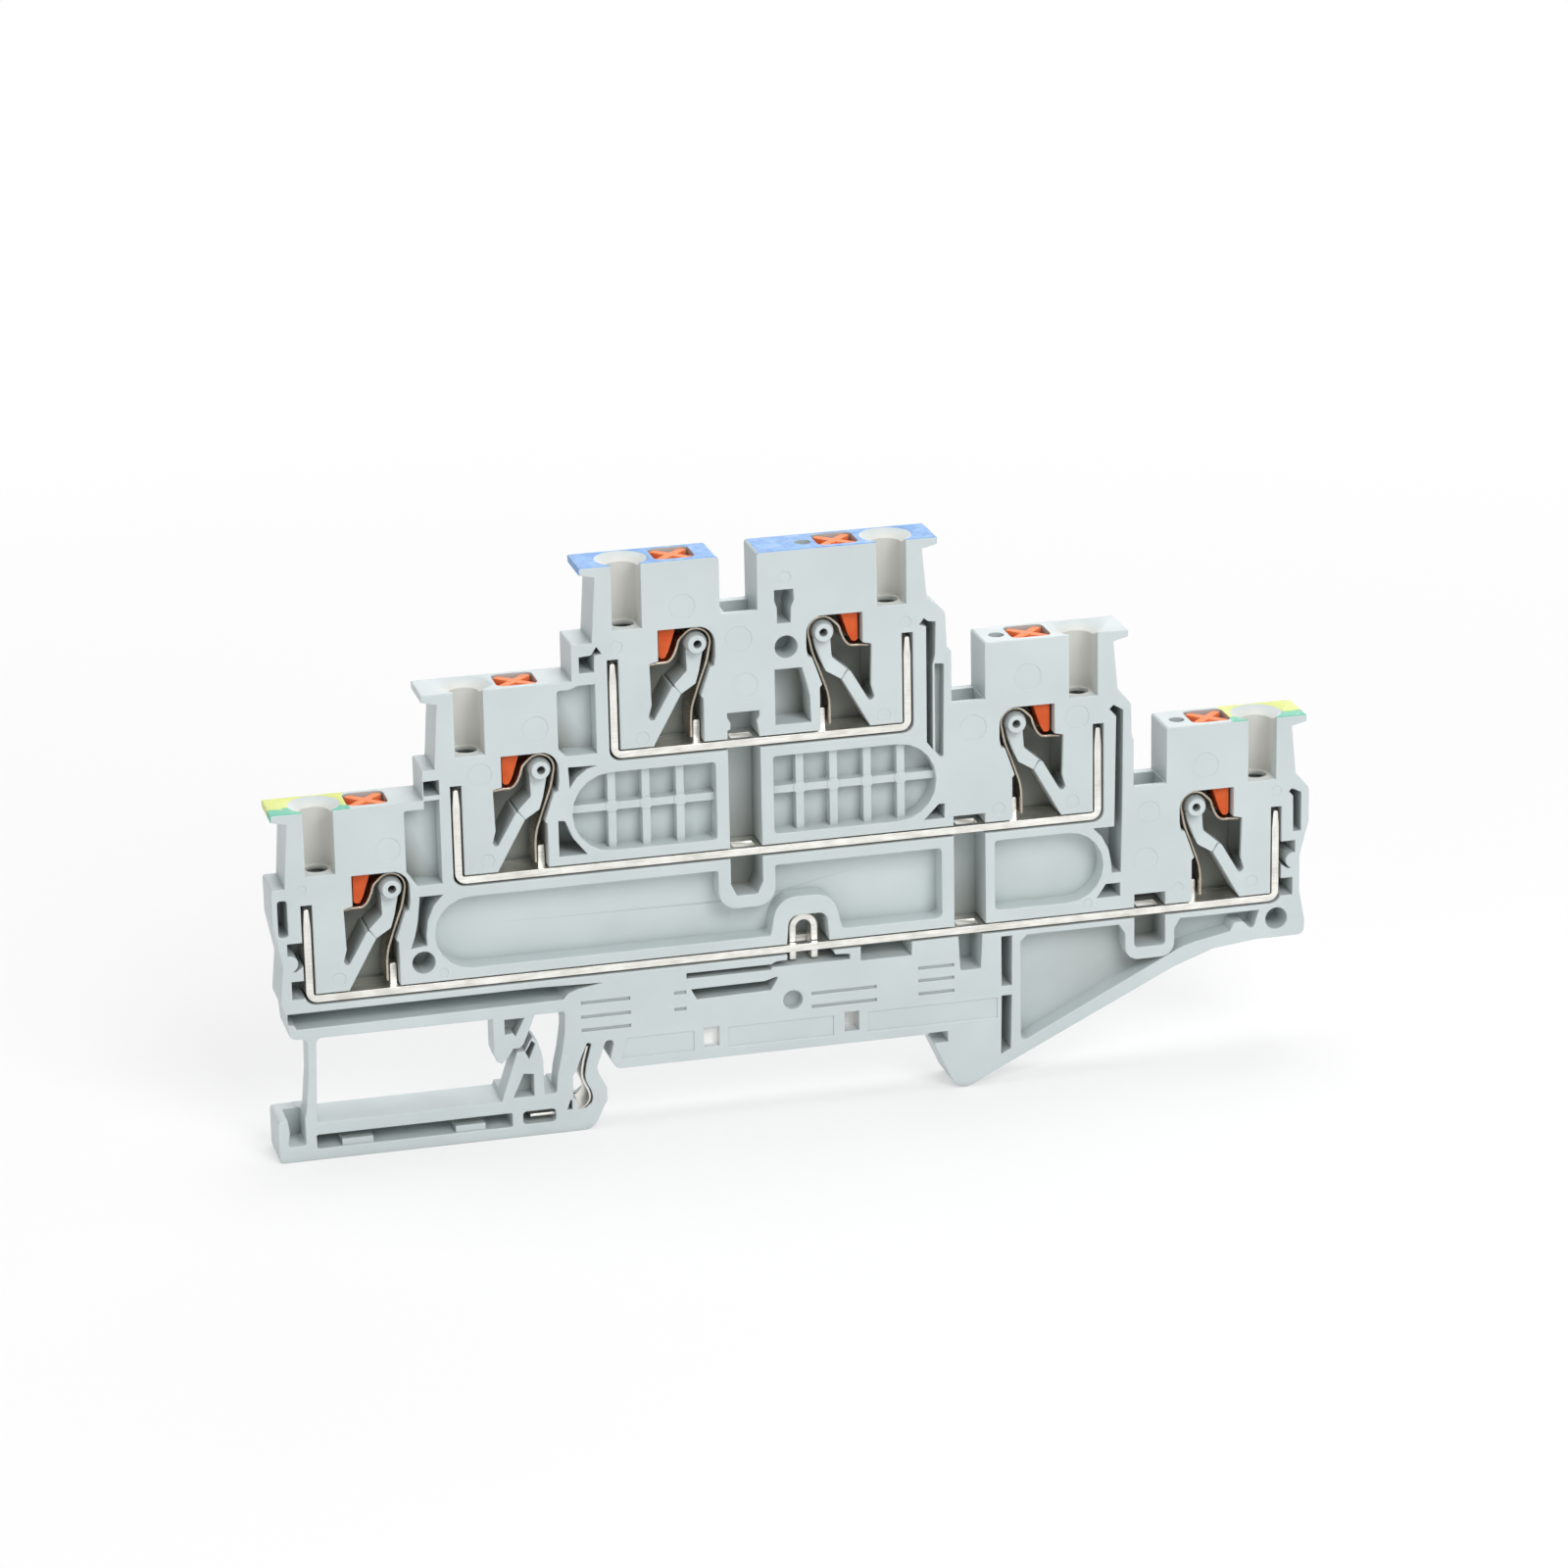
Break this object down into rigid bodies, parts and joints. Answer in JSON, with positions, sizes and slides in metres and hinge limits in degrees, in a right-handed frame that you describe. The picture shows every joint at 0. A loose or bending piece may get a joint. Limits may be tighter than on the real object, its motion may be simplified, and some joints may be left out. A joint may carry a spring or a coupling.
{
  "type": "triple level terminal block",
  "caption": "Thin stepped terminal block for a 35 mm rail, with push-in clamps on three levels, push buttons, busbars and an open front.",
  "frame": {"origin": "middle of the rail seat on the underside of the base, halfway through the block's thickness", "axes": "+X along the block towards the fixed hook's side, +Y from the open front to the closed back, +Z away from the rail"},
  "size_m": [0.1067, 0.0052, 0.0582],
  "materials": {
    "housing": "fine matt moulded",
    "button": "satin moulded",
    "spring_steel": "bright rolled",
    "busbar": "tinned, bright"
  },
  "bodies": {
    "block": {"housing": "housing", "busbar_lower": "busbar", "busbar_middle": "busbar", "busbar_upper": "busbar", "staple_contact": "busbar", "catch_spring": "spring_steel", "clamp_spring_lower_left": "spring_steel", "clamp_spring_lower_right": "spring_steel", "clamp_spring_middle_left": "spring_steel", "clamp_spring_middle_right": "spring_steel", "clamp_spring_upper_left": "spring_steel", "clamp_spring_upper_right": "spring_steel"},
    "button_lower_left": {"push_button_lower_left": "button"},
    "button_lower_right": {"push_button_lower_right": "button"},
    "button_middle_left": {"push_button_middle_left": "button"},
    "button_middle_right": {"push_button_middle_right": "button"},
    "button_upper_left": {"push_button_upper_left": "button"},
    "button_upper_right": {"push_button_upper_right": "button"}
  },
  "joints": [
    {"name": "press_lower_left", "type": "slide", "parent": "block", "child": "button_lower_left", "axis": [0, 0, -1], "range_m": [0, 0.0016], "stiffness_N_per_m": 4000, "deforming": ["clamp_spring_lower_left"]},
    {"name": "press_lower_right", "type": "slide", "parent": "block", "child": "button_lower_right", "axis": [0, 0, -1], "range_m": [0, 0.0016], "stiffness_N_per_m": 4000, "deforming": ["clamp_spring_lower_right"]},
    {"name": "press_middle_left", "type": "slide", "parent": "block", "child": "button_middle_left", "axis": [0, 0, -1], "range_m": [0, 0.0016], "stiffness_N_per_m": 4000, "deforming": ["clamp_spring_middle_left"]},
    {"name": "press_middle_right", "type": "slide", "parent": "block", "child": "button_middle_right", "axis": [0, 0, -1], "range_m": [0, 0.0016], "stiffness_N_per_m": 4000, "deforming": ["clamp_spring_middle_right"]},
    {"name": "press_upper_left", "type": "slide", "parent": "block", "child": "button_upper_left", "axis": [0, 0, -1], "range_m": [0, 0.0016], "stiffness_N_per_m": 4000, "deforming": ["clamp_spring_upper_left"]},
    {"name": "press_upper_right", "type": "slide", "parent": "block", "child": "button_upper_right", "axis": [0, 0, -1], "range_m": [0, 0.0016], "stiffness_N_per_m": 4000, "deforming": ["clamp_spring_upper_right"]}
  ]
}
